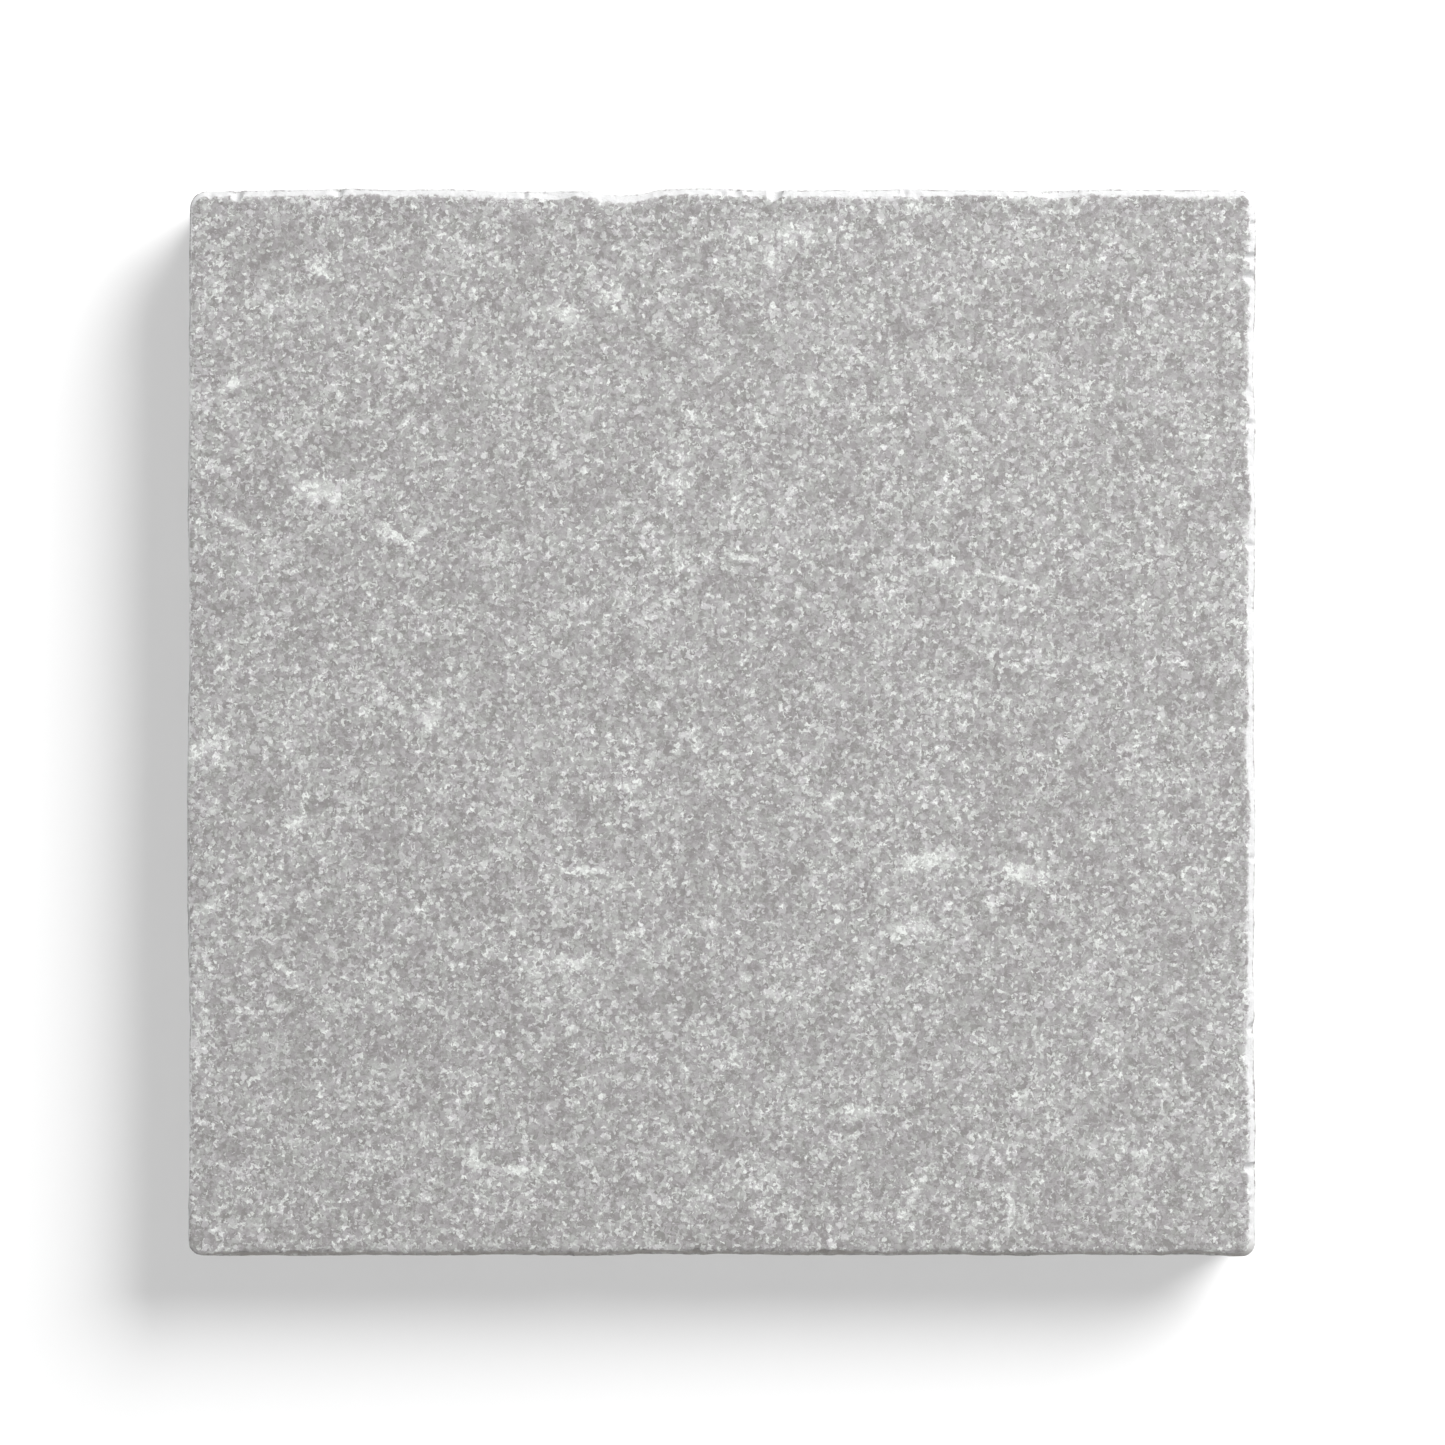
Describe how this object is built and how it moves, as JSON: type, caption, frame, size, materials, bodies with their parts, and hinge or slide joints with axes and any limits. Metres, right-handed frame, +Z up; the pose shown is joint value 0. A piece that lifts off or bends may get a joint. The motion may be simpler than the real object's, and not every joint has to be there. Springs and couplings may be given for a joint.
{
  "type": "granite tooling slab",
  "caption": "Square granite slab with flat faces and tumbled, chipped edges: a hard, heavy block that leather is carved, stamped and skived on.",
  "frame": {"origin": "middle of the underside, on the surface that the slab rests on", "axes": "+Z up out of the working face, +X towards the slab's right side, +Y towards its back, both along the square's sides"},
  "size_m": [0.305, 0.305, 0.03],
  "materials": {
    "granite": "pale grey granite, medium speckle, honed and tumbled, dull, with whitish bruised edges"
  },
  "bodies": {
    "root": {"granite_slab": "granite"}
  },
  "joints": []
}
